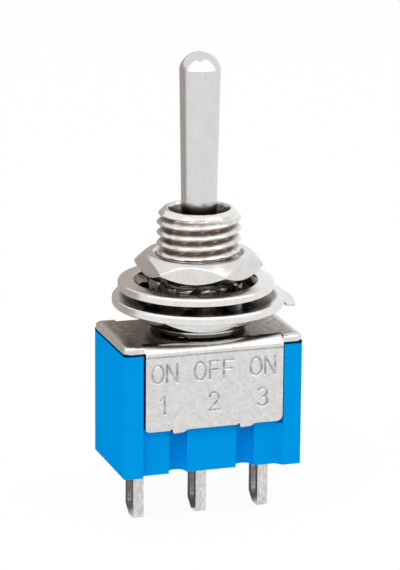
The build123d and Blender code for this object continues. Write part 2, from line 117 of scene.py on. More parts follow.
def laid_over(material, place, colour, film):
    """Lays a film over a colour and returns the new colour.  A film is (measure, start, end,
    ragged, tone, amount, band): its share of the tone rises from 0 to the amount as the measure
    goes from start to end.  The measure is the "height", the "radius" from the axis, the length
    that the "sheared" attribute holds, or [x, y], the distance past a rectangle with those half
    sides.  A noise shifts it by up to half the ragged width, and the band, if there is one, is
    the pair of heights that the film keeps to.  Lengths are millimetres."""
    measure, start, end, ragged, tone, amount, *band = film
    split = add_node(material, "ShaderNodeSeparateXYZ", links={0: place.outputs["Object"]})
    if measure == "height":
        measured = split.outputs["Z"]
    elif measure == "sheared":
        measured = add_node(material, "ShaderNodeAttribute", {"attribute_name": measure}).outputs["Fac"]
    elif measure == "radius":
        flat = add_node(material, "ShaderNodeCombineXYZ",
                        links={"X": split.outputs["X"], "Y": split.outputs["Y"]})
        measured = add_node(material, "ShaderNodeVectorMath", {"operation": "LENGTH"},
                            {0: flat.outputs[0]}).outputs["Value"]
    else:
        size = add_node(material, "ShaderNodeVectorMath", {"operation": "ABSOLUTE"},
                        {0: place.outputs["Object"]})
        inset = add_node(material, "ShaderNodeVectorMath",
                         {"operation": "SUBTRACT", 0: [half * MM for half in measure] + [0]},
                         {1: size.outputs["Vector"]})
        sides = add_node(material, "ShaderNodeSeparateXYZ", links={0: inset.outputs["Vector"]})
        measured = add_node(material, "ShaderNodeMath", {"operation": "MINIMUM"},
                            {0: sides.outputs["X"], 1: sides.outputs["Y"]}).outputs[0]
    noise = add_node(material, "ShaderNodeTexNoise", {"Scale": per_metre(FILM_RAGS_MM), "Detail": 3.0},
                     {"Vector": place.outputs["Object"]})
    shift = add_node(material, "ShaderNodeMath",
                     {"operation": "MULTIPLY_ADD", 1: ragged * MM, 2: -ragged * MM / 2},
                     {0: noise.outputs["Fac"]})
    moved = add_node(material, "ShaderNodeMath", {"operation": "ADD"},
                     {0: measured, 1: shift.outputs[0]})
    share = add_node(material, "ShaderNodeMapRange",
                     {"interpolation_type": "SMOOTHSTEP", "From Min": start * MM, "From Max": end * MM,
                      "To Min": 0.0, "To Max": amount}, {"Value": moved.outputs[0]}).outputs["Result"]
    for low, high in band:
        inside = add_node(material, "ShaderNodeMath",
                          {"operation": "COMPARE", 1: (low + high) / 2 * MM, 2: (high - low) / 2 * MM},
                          {0: split.outputs["Z"]})
        share = add_node(material, "ShaderNodeMath", {"operation": "MULTIPLY"},
                         {0: share, 1: inside.outputs[0]}).outputs[0]
    mix = add_node(material, "ShaderNodeMix", {"data_type": "RGBA", 7: linear(tone)},
                   {0: share, 6: colour})
    return mix.outputs[2]


def moulded(name, colour, cloud, cloud_mm, grain_mm, roughness, gloss, films=()):
    """Moulded plastic: clouds in the colour, films over it, and a grain in the skin's height."""
    material, shader = new_material(name, {"Roughness": roughness, "Specular IOR Level": gloss})
    place = add_node(material, "ShaderNodeTexCoord")
    clouds = add_node(material, "ShaderNodeTexNoise", {"Scale": per_metre(cloud_mm), "Detail": 3.0},
                      {"Vector": place.outputs["Object"]})
    mix = add_node(material, "ShaderNodeMix", {"data_type": "RGBA", 6: linear(colour), 7: linear(cloud)},
                   {0: clouds.outputs["Fac"]})
    grain = add_node(material, "ShaderNodeTexNoise", {"Scale": per_metre(grain_mm), "Detail": 2.0},
                     {"Vector": place.outputs["Object"]})
    bump = add_node(material, "ShaderNodeBump", {"Strength": 0.25, "Distance": 0.012 * MM},
                    {"Height": grain.outputs["Fac"]})
    tone = mix.outputs[2]
    for film in films:
        tone = laid_over(material, place, tone, film)
    material.node_tree.links.new(tone, shader.inputs["Base Color"])
    material.node_tree.links.new(bump.outputs["Normal"], shader.inputs["Normal"])
    return material


def finish_node(node, material):
    """Gives a carried-over solid its material."""
    mesh = frame["nodes"][node].data
    mesh.materials.clear()
    mesh.materials.append(material)


# Nylon from a spark-eroded mould: so matt that it mirrors nothing at any angle, with one even
# colour and the faintest clouds from the flow; a dark line is painted in as the shade under the
# plate's ears.
CASE_SEAM = ("height", -0.74, -0.62, 0.05, "#001a2a", 0.95)
blue_nylon = moulded("blue_moulded_nylon", CASE_BLUE, CASE_CLOUD, CASE_CLOUD_MM, CASE_GRAIN_MM,
                     roughness=0.4, gloss=0.0, films=[CASE_SEAM])
finish_node("case", blue_nylon)


# ---- Resin seals ----
# Dark epoxy poured round each lug from below, so that flux can't creep up into the contacts.
# Cast resin sets glossy, and its filler settles in small clouds.
epoxy = moulded("cast_epoxy", "#123a56", "#0c2b42", cloud_mm=0.8, grain_mm=0.3, roughness=0.22,
                gloss=0.4)
for node in ("left_seal", "centre_seal", "right_seal"):
    finish_node(node, epoxy)


# ---- Solder lugs ----
# Three blades stamped from brass sheet, each with a wire hole and one clipped corner, and dipped
# in tin before they are pushed up through the case's floor.
RELIEF_MM = 0.1


def plated(name, bright, stain, stain_mm, roughness, stretch=(1, 1, 1), bump=0.003, films=()):
    """Plated metal: slow clouds of a second tone, uneven gloss and colour from a fine relief, and
    films over all.  stretch is how much longer the relief's features are along x, y and z.  The
    relief is drawn a few times coarser than a real plating's, or it wouldn't show."""
    material, shader = new_material(name, {"Metallic": 1.0})
    place = add_node(material, "ShaderNodeTexCoord")
    clouds = add_node(material, "ShaderNodeTexNoise", {"Scale": per_metre(stain_mm), "Detail": 4.0},
                      {"Vector": place.outputs["Object"]})
    turned = add_node(material, "ShaderNodeMapping",
                      {"Scale": [1 / s for s in stretch]}, {"Vector": place.outputs["Object"]})
    relief = add_node(material, "ShaderNodeTexNoise", {"Scale": per_metre(RELIEF_MM), "Detail": 3.0},
                      {"Vector": turned.outputs["Vector"]})
    both = add_node(material, "ShaderNodeMath", {"operation": "ADD"},
                    {0: clouds.outputs["Fac"], 1: relief.outputs["Fac"]})
    share = add_node(material, "ShaderNodeMapRange", {"From Min": 0.7, "From Max": 1.4},
                     {"Value": both.outputs[0]})
    mix = add_node(material, "ShaderNodeMix", {"data_type": "RGBA", 6: linear(bright), 7: linear(stain)},
                   {0: share.outputs["Result"]})
    tone = mix.outputs[2]
    for film in films:
        tone = laid_over(material, place, tone, film)
    gloss = add_node(material, "ShaderNodeMapRange",
                     {"To Min": roughness * 0.8, "To Max": roughness * 1.25},
                     {"Value": relief.outputs["Fac"]})
    skin = add_node(material, "ShaderNodeBump", {"Strength": 0.5, "Distance": bump * MM},
                    {"Height": relief.outputs["Fac"]})
    links = material.node_tree.links
    links.new(tone, shader.inputs["Base Color"])
    links.new(gloss.outputs["Result"], shader.inputs["Roughness"])
    links.new(skin.outputs["Normal"], shader.inputs["Normal"])
    return material


# Hot-dipped tin freezes slightly lumpy, with streaks where it ran off the blade, and stops short
# of the case, where the bare brass has turned to a warm copper brown.
BARE_BRASS = ("height", -10.7, -9.8, 0.5, "#b0714f", 0.85)
tinned_brass = plated("tin_dipped_brass", "#e8e7e5", "#bab5b0", stain_mm=0.3, roughness=0.3,
                      stretch=(1, 1, 4), bump=0.012, films=[BARE_BRASS])
for node in ("left_terminal", "centre_terminal", "right_terminal"):
    finish_node(node, tinned_brass)


# ---- Contacts and rocker ----
# Buttons riveted to the side lugs' shelves and to the pressed rocker, all silver plated.  New
# silver is the whitest of the metals here, and tarnish clouds it to a warm grey.
silver_plate = plated("silver_plate", "#e4e2de", "#c9bfb2", stain_mm=0.9, roughness=0.24)
for node in ("rocker", "left_rocker_contact", "right_rocker_contact",
             "left_fixed_contact", "right_fixed_contact"):
    finish_node(node, silver_plate)


# ---- Plunger, its spring and the pivot pin ----
# The plunger is moulded in natural acetal, slippery and slightly waxy.  The spring behind it and
# the pin across the ball are drawn steel wire, which keeps fine lines from the die.
acetal = moulded("natural_acetal", "#e9e6dc", "#e0dccf", cloud_mm=1.2, grain_mm=0.1, roughness=0.3,
                 gloss=0.5)
finish_node("plunger", acetal)
drawn_steel = plated("drawn_steel_wire", "#b9bbbe", "#8f9194", stain_mm=0.5, roughness=0.28,
                     stretch=(1, 6, 1))
finish_node("pivot_pin", drawn_steel)
spring_low, spring_high = [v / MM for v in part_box("plunger_spring")]
SPRING_WIRE = 0.1
SPRING_TURNS = 5
SPRING_CLOSED = 0.35
SPRING_PLAY = 0.01
MERGE_DISTANCE = 1e-4


def grid_faces(rows, columns, first, wrap_rows, caps):
    """Quads between neighbours of a grid whose columns close on themselves; the rows close too if
    wrap_rows, and the first and last row are filled if caps."""
    index = np.arange(rows * columns).reshape(rows, columns) + first
    a = index if wrap_rows else index[:-1]
    b = np.roll(index, -1, axis=0) if wrap_rows else index[1:]
    quads = np.stack([a, b, np.roll(b, -1, axis=1), np.roll(a, -1, axis=1)], axis=-1)
    faces = quads.reshape(-1, 4).tolist()
    if caps:
        faces += [index[0].tolist(), index[-1][::-1].tolist()]
    return faces


def close_mesh(mesh, sharp):
    """Merges doubled points, turns the faces outwards and shades smooth below the sharp angle."""
    work = bmesh.new()
    work.from_mesh(mesh)
    bmesh.ops.remove_doubles(work, verts=work.verts, dist=MERGE_DISTANCE * MM)
    bmesh.ops.dissolve_degenerate(work, edges=work.edges, dist=MERGE_DISTANCE / 10 * MM)
    bmesh.ops.recalc_face_normals(work, faces=work.faces)
    work.to_mesh(mesh)
    work.free()
    mesh.shade_smooth()
    mesh.set_sharp_from_angle(angle=math.radians(sharp))


def in_scene(name, data):
    """A new object with this data, linked to the scene."""
    thing = bpy.data.objects.new(name, data)
    bpy.context.scene.collection.objects.link(thing)
    return thing


def make_piece(name, grids, material, body, sharp=30, wrap_rows=True, caps=False):
    """One mesh from grids of points (rows, columns, 3) in millimetres.  Doubled points, as at a
    pole, are merged, normals are turned outwards, and edges past the sharp angle stay crisp."""
    points, faces = [], []
    for grid in grids:
        first = sum(len(p) for p in points)
        faces += grid_faces(grid.shape[0], grid.shape[1], first, wrap_rows, caps)
        points.append(grid.reshape(-1, 3))
    mesh = bpy.data.meshes.new(name)
    mesh.from_pydata((np.concatenate(points) * MM).tolist(), [], faces)
    close_mesh(mesh, sharp)
    mesh.materials.append(material)
    piece = in_scene(name, mesh)
    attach(piece, body)
    return piece


def wire_coil(steps, sides):
    """A round wire along a coil of radius R: its middle is (R cos a, R sin a, z), where z climbs
    slower by the closed share over the first and last turn; each loop lies square to the turn."""
    share = np.linspace(0, 1, steps)
    a = 2 * np.pi * SPRING_TURNS * share
    close = SPRING_CLOSED * np.sin(2 * np.pi * share) / (2 * np.pi)
    length = spring_high.z - spring_low.z - 2 * (SPRING_WIRE + SPRING_PLAY)
    z = spring_low.z + SPRING_WIRE + SPRING_PLAY + length * (share - close)
    radius = (spring_high.x - spring_low.x) / 2 - SPRING_WIRE - SPRING_PLAY
    b = np.linspace(0, 2 * np.pi, sides, endpoint=False)
    reach = radius + SPRING_WIRE * np.cos(b)[None, :]
    return np.stack([reach * np.cos(a)[:, None], reach * np.sin(a)[:, None],
                     z[:, None] + SPRING_WIRE * np.sin(b)[None, :]], axis=-1)


spring = make_piece("plunger_spring_coiled", [wire_coil(steps=400, sides=14)], drawn_steel, "lever",
                    sharp=50, wrap_rows=False, caps=True)
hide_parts("plunger_spring")
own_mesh(spring)


# ---- Threaded bushing ----
# Turned from brass, with a rolled M6 x 0.75 thread.  Its oblong flange is clamped under the cover
# plate; the bore narrows to a ball socket for the lever, with a slot for the cross pin.
bushing_low, bushing_high = [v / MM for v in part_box("bushing")]
THREAD_RADIUS = bushing_high.y
THREAD_PITCH = 0.75
THREAD_DEPTH = 0.46
THREAD_START = 8.16
THREAD_ROUNDNESS = 1.3
TIP_CHAMFER = 0.5
TIP_CHAMFER_END = TIP_CHAMFER * 0.45
MOUTH_RADIUS = 2.2
THROAT_RADIUS = 1.62
SOCKET_RADIUS = 2.04
PIVOT_HEIGHT = frame["record"]["behaviour"]["joints"][0]["pos_m"][2] / MM
SWEEP_RADIUS = 1.17
SWEEP_ANGLE = math.radians(12.5)
PIN_SLOT_HALF = 0.43
PIN_SLOT_REACH = 2.26
KEYWAY_HALF = 0.4
KEYWAY_FLOOR = 2.55
FLANGE_HALF = (bushing_high.x, 2.6)
FLANGE_TOP = -0.5
NECK_RADIUS = THREAD_RADIUS - 0.3


def thread_radius(theta, z):
    """Radius of a rolled thread: with t the distance from the nearest crest along the axis, as a
    share of half a pitch, it is the major radius less depth times t to the power of roundness.
    The crest climbs one pitch for each turn of theta."""
    turns = (z - THREAD_START) / THREAD_PITCH - theta / (2 * np.pi)
    t = np.abs(turns - np.round(turns)) * 2
    return THREAD_RADIUS - THREAD_DEPTH * t ** THREAD_ROUNDNESS


def bore_radius(theta, z):
    """Radius of the bushing's bore at an angle and height: the socket's sphere above the pivot, a
    cylinder below it, widened to the stadium that the lever's tail sweeps and to the pin's slot."""
    rise = np.clip(z - PIVOT_HEIGHT, 0, None)
    round_bore = np.sqrt(np.clip(SOCKET_RADIUS ** 2 - rise ** 2, 0, None))
    drop = np.clip(PIVOT_HEIGHT - z, 0, None)
    reach = drop * math.tan(SWEEP_ANGLE)
    across = np.maximum(np.abs(np.sin(theta)), 1e-6)
    side = SWEEP_RADIUS / across
    tip = reach * np.abs(np.cos(theta)) + np.sqrt(
        np.clip(SWEEP_RADIUS ** 2 - (reach * across) ** 2, 0, None))
    sweep = np.where(side * np.abs(np.cos(theta)) <= reach, side, tip)
    radius = np.maximum(round_bore, np.where(drop > 0, sweep, 0))
    slot = np.where(PIN_SLOT_REACH * np.abs(np.cos(theta)) <= PIN_SLOT_HALF * across,
                    PIN_SLOT_REACH / across, 0)
    return np.maximum(radius, np.where(drop > 0, slot, 0))


def soften(outline, size, steps=4):
    """Rounds every corner of closed outlines (..., corners, 2): each corner P becomes the curve
    (1-t)^2 A + 2t(1-t) P + t^2 B, where A and B lie size away from P along its two sides."""
    def towards(other):
        way = other - outline
        span = np.linalg.norm(way, axis=-1, keepdims=True)
        return outline + way / np.maximum(span, 1e-9) * np.minimum(np.broadcast_to(
            np.asarray(size, float)[..., None], span.shape), span * 0.45)
    a = towards(np.roll(outline, 1, axis=-2))[..., None, :]
    b = towards(np.roll(outline, -1, axis=-2))[..., None, :]
    t = np.linspace(0, 1, steps)[:, None]
    curve = (1 - t) ** 2 * a + 2 * t * (1 - t) * outline[..., None, :] + t ** 2 * b
    return curve.reshape(*outline.shape[:-2], -1, 2)


def around(theta, section):
    """Points of a turned shape: section (angles, n, 2) of radius and height, set round the axis
    as (r cos theta, r sin theta, z)."""
    radius, height = section[..., 0], section[..., 1]
    turn = theta[:, None]
    return np.stack([radius * np.cos(turn), radius * np.sin(turn), height], axis=-1)


def ring_of_corners(theta, corners):
    """Corners (radius, height), each a number or one for every angle, as a section (angles, n, 2)."""
    return np.stack([np.stack(np.broadcast_arrays(radius, height, theta)[:2], axis=-1)
                     for radius, height in corners], axis=1)


def polygon_radius(theta, half_x, half_y):
    """Radius of a rectangle's outline in the direction theta."""
    return np.minimum(half_x / np.maximum(np.abs(np.cos(theta)), 1e-9),
                      half_y / np.maximum(np.abs(np.sin(theta)), 1e-9))


def split_angles(count, radius, half_width):
    """Even angles round a circle, with doubled ones at the two walls of a key or keyway at +Y."""
    wall = math.acos(half_width / radius)
    walls = [wall - 2e-3, wall + 2e-3, np.pi - wall - 2e-3, np.pi - wall + 2e-3]
    return np.sort(np.concatenate([np.linspace(0, 2 * np.pi, count, endpoint=False), walls]))


def within_key(theta, radius, half_width):
    """Which angles lie between the two walls of a key or keyway at +Y."""
    return (np.abs(np.cos(theta)) * radius < half_width) & (np.sin(theta) > 0)


def flat_radius(theta, height):
    """Radius, in the direction theta, of a flat that crosses +Y at this height."""
    return height / np.maximum(np.sin(theta), 0.1)


corner = math.atan2(FLANGE_HALF[1], FLANGE_HALF[0])
theta = np.sort(np.concatenate([
    split_angles(240, THREAD_RADIUS, KEYWAY_HALF),
    [corner, np.pi - corner, np.pi + corner, 2 * np.pi - corner],
]))
climb = np.linspace(0.0, bushing_high.z - TIP_CHAMFER_END, 170)
turn, rise = np.meshgrid(theta, climb, indexing="ij")
tip_cone = THREAD_RADIUS - np.clip(rise - (bushing_high.z - TIP_CHAMFER), 0, None)
outside = np.minimum(thread_radius(turn, rise), tip_cone)
outside = np.where(within_key(turn, THREAD_RADIUS, KEYWAY_HALF),
                   np.minimum(outside, flat_radius(turn, KEYWAY_FLOOR)), outside)
thread_wall = np.stack([outside, rise], axis=-1)
# The lip: two shares of the chamfer's run, a point just past it, and three that round the mouth's
# corner by 0.06.
lip = np.array([
    [THREAD_RADIUS - TIP_CHAMFER * 0.72, bushing_high.z - TIP_CHAMFER * 0.28],
    [THREAD_RADIUS - TIP_CHAMFER * 0.92, bushing_high.z - TIP_CHAMFER * 0.09],
    [THREAD_RADIUS - TIP_CHAMFER * 1.15, bushing_high.z - 0.01],
    [MOUTH_RADIUS + 0.06, bushing_high.z],
    [MOUTH_RADIUS + 0.012, bushing_high.z - 0.015],
    [MOUTH_RADIUS, bushing_high.z - 0.05],
])
lip = np.broadcast_to(lip, (len(theta),) + lip.shape).copy()
lip[..., 0] = np.where(within_key(theta, THREAD_RADIUS, KEYWAY_HALF)[:, None],
                       np.minimum(lip[..., 0], flat_radius(theta, KEYWAY_FLOOR)[:, None]), lip[..., 0])
throat_height = PIVOT_HEIGHT + math.sqrt(SOCKET_RADIUS ** 2 - THROAT_RADIUS ** 2)
depths = np.concatenate([
    np.linspace(throat_height, PIVOT_HEIGHT + 0.001, 12),
    np.linspace(PIVOT_HEIGHT - 0.001, bushing_low.z, 16),
])
turn, fall = np.meshgrid(theta, depths, indexing="ij")
bore_wall = np.stack([bore_radius(turn, fall), fall], axis=-1)
flange_outline = polygon_radius(theta, *FLANGE_HALF)
flange = ring_of_corners(theta, [
    (flange_outline, bushing_low.z), (flange_outline, FLANGE_TOP), (NECK_RADIUS, FLANGE_TOP),
])
bushing_section = np.concatenate([thread_wall, lip, bore_wall, flange], axis=1)
# Rolling leaves the crests polished and bright, with marks that run round the thread.  Shade is
# painted in, brown in the grooves and dark in the mouth, and the lip between them keeps the
# plain plating colour.
GROOVE_FILM = ("radius", 2.92, 2.68, 0.3, "#86786c", 0.85)
CLEAN_LIP = ("height", 8.18, 8.3, 0.02, "#e8e7e5", 1.0)
MOUTH_FILM = ("radius", 2.2, 2.15, 0.03, "#4c4038", 0.9)
nickel_thread = plated("nickel_on_rolled_thread", "#eae9e8", "#d2cec9", stain_mm=0.5, roughness=0.18,
                       stretch=(3, 3, 1), bump=0.0015, films=[GROOVE_FILM, CLEAN_LIP, MOUTH_FILM])
bushing = make_piece("bushing_threaded", [around(theta, bushing_section)], nickel_thread,
                     "switch_body", sharp=40)
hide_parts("bushing")


# ---- Lever ----
# Turned from one brass bar: domed tip, slow taper, ball, and a tail bored for the spring.  The
# cross pin through its ball holds it in the bushing.
lever_low, lever_high = [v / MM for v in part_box("lever")]
LEVER_TIP_RADIUS = 1.46
LEVER_DOME_HEIGHT = 1.17
LEVER_MOUTH_RADIUS = 1.26
LEVER_NECK_RADIUS = 1.2
LEVER_BALL_RADIUS = lever_high.x
LEVER_TAIL_RADIUS = 1.1
TAIL_BORE_RADIUS = 0.75
TAIL_BORE_END = 3.0
TAIL_DRILL_ANGLE = math.radians(30)
TAIL_CHAMFER = 0.06
DOME_EDGE = 0.03
dome_base = lever_high.z - LEVER_DOME_HEIGHT
dome_radius = (LEVER_TIP_RADIUS ** 2 + LEVER_DOME_HEIGHT ** 2) / (2 * LEVER_DOME_HEIGHT)
dome_angle = np.linspace(0, math.asin(LEVER_TIP_RADIUS / dome_radius), 40)
dome = np.stack([dome_radius * np.sin(dome_angle),
                 lever_high.z - dome_radius * (1 - np.cos(dome_angle))], axis=-1)
ball_neck = math.asin(LEVER_NECK_RADIUS / LEVER_BALL_RADIUS)
ball_tail = math.pi - math.asin(LEVER_TAIL_RADIUS / LEVER_BALL_RADIUS)
ball_angle = np.linspace(ball_neck, ball_tail, 48)
ball = np.stack([LEVER_BALL_RADIUS * np.sin(ball_angle),
                 PIVOT_HEIGHT + LEVER_BALL_RADIUS * np.cos(ball_angle)], axis=-1)
shaft = np.array([
    [LEVER_TIP_RADIUS, dome_base - DOME_EDGE],
    [(LEVER_TIP_RADIUS + LEVER_MOUTH_RADIUS) / 2, (dome_base + bushing_high.z) / 2],
    [LEVER_MOUTH_RADIUS, bushing_high.z],
])
tail = np.array([
    [LEVER_TAIL_RADIUS, lever_low.z + TAIL_CHAMFER],
    [LEVER_TAIL_RADIUS - TAIL_CHAMFER, lever_low.z],
    [TAIL_BORE_RADIUS, lever_low.z],
    [TAIL_BORE_RADIUS, TAIL_BORE_END],
    [0.0, TAIL_BORE_END + TAIL_BORE_RADIUS * math.tan(TAIL_DRILL_ANGLE)],
])
lever_profile = np.concatenate([dome, shaft, ball, tail])
lever_theta = np.linspace(0, 2 * np.pi, 160, endpoint=False)
lever_section = np.broadcast_to(lever_profile, (len(lever_theta),) + lever_profile.shape)
# Barrel plating over a turned skin is a soft satin, drawn out along the lever; from a little
# above the bushing's mouth downwards the lever is painted brown, as shade where it goes in.
GREASE_RING = ("height", 9.45, 9.05, 0.4, "#5a4b40", 0.88)
satin_nickel = plated("satin_nickel_lever", "#d9d9d9", "#cfcfcf", stain_mm=1.2, roughness=0.2,
                      stretch=(1, 1, 7), bump=0.002, films=[GREASE_RING])
lever = make_piece("lever_turned", [around(lever_theta, lever_section)], satin_nickel, "lever", sharp=8)
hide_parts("lever")


# ---- Cover plate ----
# Steel strip, blanked, stamped and folded over the case, with two crimp tabs on each flap pushed
# into the case's grooves; then barrel plated in nickel.  The words and lug numbers are generic.
PLATE_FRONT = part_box("cover_plate")[0].y / MM
STROKE_DEPTH = 0.05
STROKE_HALF = 0.14
FLAP_RIGHT = 5.15
FLAP_LEFT = 5.04
PANEL_LOW = -5.6
PANEL_HIGH = -0.82
PANEL_STEP = 0.036
PANEL_THICKNESS = 0.12
PANEL_SINK = 0.02
LETTER_HEIGHT = 1.3
LETTER_WIDTH = 0.82
LETTER_PITCH = 1.04
WORDS_HEIGHT = -2.75
GAP_OUTSIDE = 5.3
GAP_DEPTH = 0.51
GAP_LOW = -6.6
GAP_HIGH = -0.52
NUMBERS_HEIGHT = -5.05
NUMBER_SPREAD = 3.65


def arc_points(centre_x, centre_z, radius_x, radius_z, start, end, count=18):
    """Points (x, z) of an ellipse's arc: centre plus radii times cosine and sine of the angle."""
    angle = np.radians(np.linspace(start, end, count))
    return np.stack([centre_x + radius_x * np.cos(angle), centre_z + radius_z * np.sin(angle)], axis=-1)


# Each letter's strokes in a unit square, as paths through points (x, z).
LETTERS = {
    "O": [arc_points(0.5, 0.5, 0.5, 0.5, 0, 360, 33)],
    "N": [[(0.05, 0), (0.05, 1), (0.95, 0), (0.95, 1)]],
    "F": [[(0.1, 0), (0.1, 1), (0.95, 1)], [(0.1, 0.52), (0.8, 0.52)]],
    "1": [[(0.15, 0.78), (0.5, 1), (0.5, 0)]],
    "2": [arc_points(0.5, 0.7, 0.42, 0.3, 165, -35, 20), [(0.845, 0.53), (0.05, 0), (0.95, 0)]],
    "3": [arc_points(0.45, 0.75, 0.4, 0.25, 150, -90, 20),
          arc_points(0.45, 0.26, 0.46, 0.26, 90, -150, 20)],
}


def line_strokes(text, pitch, z):
    """A centred line of text as stroke paths in millimetres, with its feet at height z."""
    size = np.array([LETTER_WIDTH, LETTER_HEIGHT])
    paths = []
    for place, letter in enumerate(text):
        x = (place - (len(text) - 1) / 2) * pitch - LETTER_WIDTH / 2
        paths += [np.array(path) * size + [x, z] for path in LETTERS.get(letter, ())]
    return paths


strokes = line_strokes("ON OFF ON", LETTER_PITCH, WORDS_HEIGHT)
strokes += line_strokes("123", NUMBER_SPREAD, NUMBERS_HEIGHT)


def stroke_distance(x, z, paths):
    """Distance from points (x, z) to the nearest stroke: for each straight bit from A to B, the
    length of P - A - t (B - A) with t = (P - A).(B - A) / |B - A|^2 held between 0 and 1."""
    nearest = np.full(x.shape, np.inf)
    for path in paths:
        for (ax, az), (bx, bz) in zip(path[:-1], path[1:]):
            across, up = bx - ax, bz - az
            t = np.clip(((x - ax) * across + (z - az) * up) / (across ** 2 + up ** 2), 0, 1)
            nearest = np.minimum(nearest, np.hypot(x - ax - t * across, z - az - t * up))
    return nearest


def stamped_panel(paths):
    """The stretch of the flap that carries the text, as a slab: loops round its section at each x.
    Its front is y = front + depth (1 - d^2 / w^2)^2 where the distance d to a stroke is below w."""
    xs = np.linspace(-FLAP_LEFT, FLAP_RIGHT, round((FLAP_LEFT + FLAP_RIGHT) / PANEL_STEP))
    zs = np.linspace(PANEL_LOW, PANEL_HIGH, round((PANEL_HIGH - PANEL_LOW) / PANEL_STEP))
    x, z = np.meshgrid(xs, zs, indexing="ij")
    near = np.clip(stroke_distance(x, z, paths) / STROKE_HALF, 0, 1)
    front = np.stack([x, PLATE_FRONT + STROKE_DEPTH * (1 - near ** 2) ** 2, z], axis=-1)
    back = front[:, [-1, 0]].copy()
    back[..., 1] = PLATE_FRONT + PANEL_THICKNESS
    return np.concatenate([front, back], axis=1)


# The solid's plate, cut for the text panel and trimmed at both flaps' left sides, where the case
# shows beside the flap.
plate_mesh = frame["nodes"]["cover_plate"].data.copy()
plate_mesh.name = "cover_plate_stamped"
work = bmesh.new()
work.from_mesh(plate_mesh)
bmesh.ops.remove_doubles(work, verts=work.verts, dist=MERGE_DISTANCE * MM)
bmesh.ops.dissolve_limit(work, angle_limit=math.radians(0.5), verts=work.verts, edges=work.edges)
work.to_mesh(plate_mesh)
work.free()
plate = in_scene("cover_plate_stamped", plate_mesh)
panel_room = np.array([(x, y, z) for x in (-GAP_OUTSIDE, GAP_OUTSIDE)
                       for y in (PLATE_FRONT - 1, PLATE_FRONT + PANEL_THICKNESS - PANEL_SINK)
                       for z in (PANEL_LOW, PANEL_HIGH)])
gap_room = np.array([(x, y, z) for x in (-GAP_OUTSIDE, -FLAP_LEFT)
                     for y in (PLATE_FRONT - 1, PLATE_FRONT + GAP_DEPTH)
                     for z in (GAP_LOW, GAP_HIGH)])
room_corners = np.concatenate([panel_room, gap_room, gap_room * [-1, -1, 1]])
room_sides = np.array([(0, 1, 3, 2), (4, 6, 7, 5), (0, 4, 5, 1),
                       (2, 3, 7, 6), (0, 2, 6, 4), (1, 5, 7, 3)])
room_mesh = bpy.data.meshes.new("panel_room")
room_mesh.from_pydata((room_corners * MM).tolist(), [],
                      np.concatenate([room_sides, room_sides + 8, room_sides + 16]).tolist())
room = in_scene("panel_room", room_mesh)
opening = plate.modifiers.new("panel_opening", "BOOLEAN")
opening.operation = "DIFFERENCE"
opening.solver = "EXACT"
opening.use_self = True
opening.object = room
opened = bpy.data.meshes.new_from_object(plate.evaluated_get(bpy.context.evaluated_depsgraph_get()))
plate.modifiers.clear()
plate.data = opened
bpy.data.objects.remove(room)
opened.materials.clear()
# The top is painted a mottled brown with paler specks, kept off its rims, as the dark reflection
# of the nuts, and brown-black under and around the nuts as painted shade; the bent parts keep the
# plain plating colour, and the sheared sides are painted near-black as the shade in the gap by
# each flap.
PLATE_HALF = [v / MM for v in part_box("cover_plate")[1]][:2]
PLATE_TOP_FILM = (PLATE_HALF, 0.22, 0.62, 0.35, "#6c5e53", 0.9, (-0.06, 1))
SPECKLE_FILM = ("height", -0.03, 0.05, 0.17, "#c4bcb4", 0.75, (-0.04, 1))
NUT_SHADE_FILM = ("radius", 6.6, 3.8, 1.8, "#3a2a20", 0.85, (-0.06, 1))
SHEARED_FILM = ("sheared", 0.3, 0.7, 0.0, "#14110f", 0.95)
PLATE_SKIN = dict(bright="#e4e3e2", stain="#cbc8c5", stain_mm=0.3, roughness=0.24, bump=0.004)
stamped_nickel = plated("nickel_on_stamped_steel", **PLATE_SKIN,
                        films=[PLATE_TOP_FILM, SPECKLE_FILM, NUT_SHADE_FILM, SHEARED_FILM])
opened.materials.append(stamped_nickel)


def write_attribute(mesh, name, domain, values):
    """Gives every face or point of a mesh one number under a name."""
    mesh.attributes.new(name, "FLOAT", domain).data.foreach_set("value", values.astype(np.float32))


def mark_sheared(mesh):
    """Marks the sheared sides of a flap: the faces that look along X and lie below the ears."""
    normals, middles = np.empty(len(mesh.polygons) * 3), np.empty(len(mesh.polygons) * 3)
    mesh.polygons.foreach_get("normal", normals)
    mesh.polygons.foreach_get("center", middles)
    sheared = (np.abs(normals[::3]) > 0.9) & (middles[2::3] < GAP_HIGH * MM)
    write_attribute(mesh, "sheared", "FACE", sheared * MM)


mark_sheared(opened)
opened.shade_smooth()
opened.set_sharp_from_angle(angle=math.radians(25))
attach(plate, "switch_body")
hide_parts("cover_plate")
# The flap's metal, with shade painted in the crease under the bend and in the stamped grooves,
# where it grows with the groove's depth and drops to half in patches.
CREASE_FILM = ("height", -0.98, -0.82, 0.05, "#5d5853", 0.55)
GROOVE_GRIME = "#565350"
GROOVE_SHARE = 0.75
WEAR_MM = 0.3
inked_nickel = plated("nickel_with_stamped_text", **PLATE_SKIN, films=[CREASE_FILM, SHEARED_FILM])
groove = add_node(inked_nickel, "ShaderNodeAttribute", {"attribute_name": "groove"})
panel_shader = inked_nickel.node_tree.nodes["Principled BSDF"]
plain_colour = panel_shader.inputs["Base Color"].links[0].from_socket
wear_place = add_node(inked_nickel, "ShaderNodeTexCoord")
wear = add_node(inked_nickel, "ShaderNodeTexNoise", {"Scale": per_metre(WEAR_MM), "Detail": 2.0},
                {"Vector": wear_place.outputs["Object"]})
kept = add_node(inked_nickel, "ShaderNodeMapRange", {"From Min": 0.35, "From Max": 0.65, "To Min": 0.5},
                {"Value": wear.outputs["Fac"]})
groove_share = add_node(inked_nickel, "ShaderNodeMath", {"operation": "MULTIPLY"},
                        {0: groove.outputs["Fac"], 1: kept.outputs["Result"]})
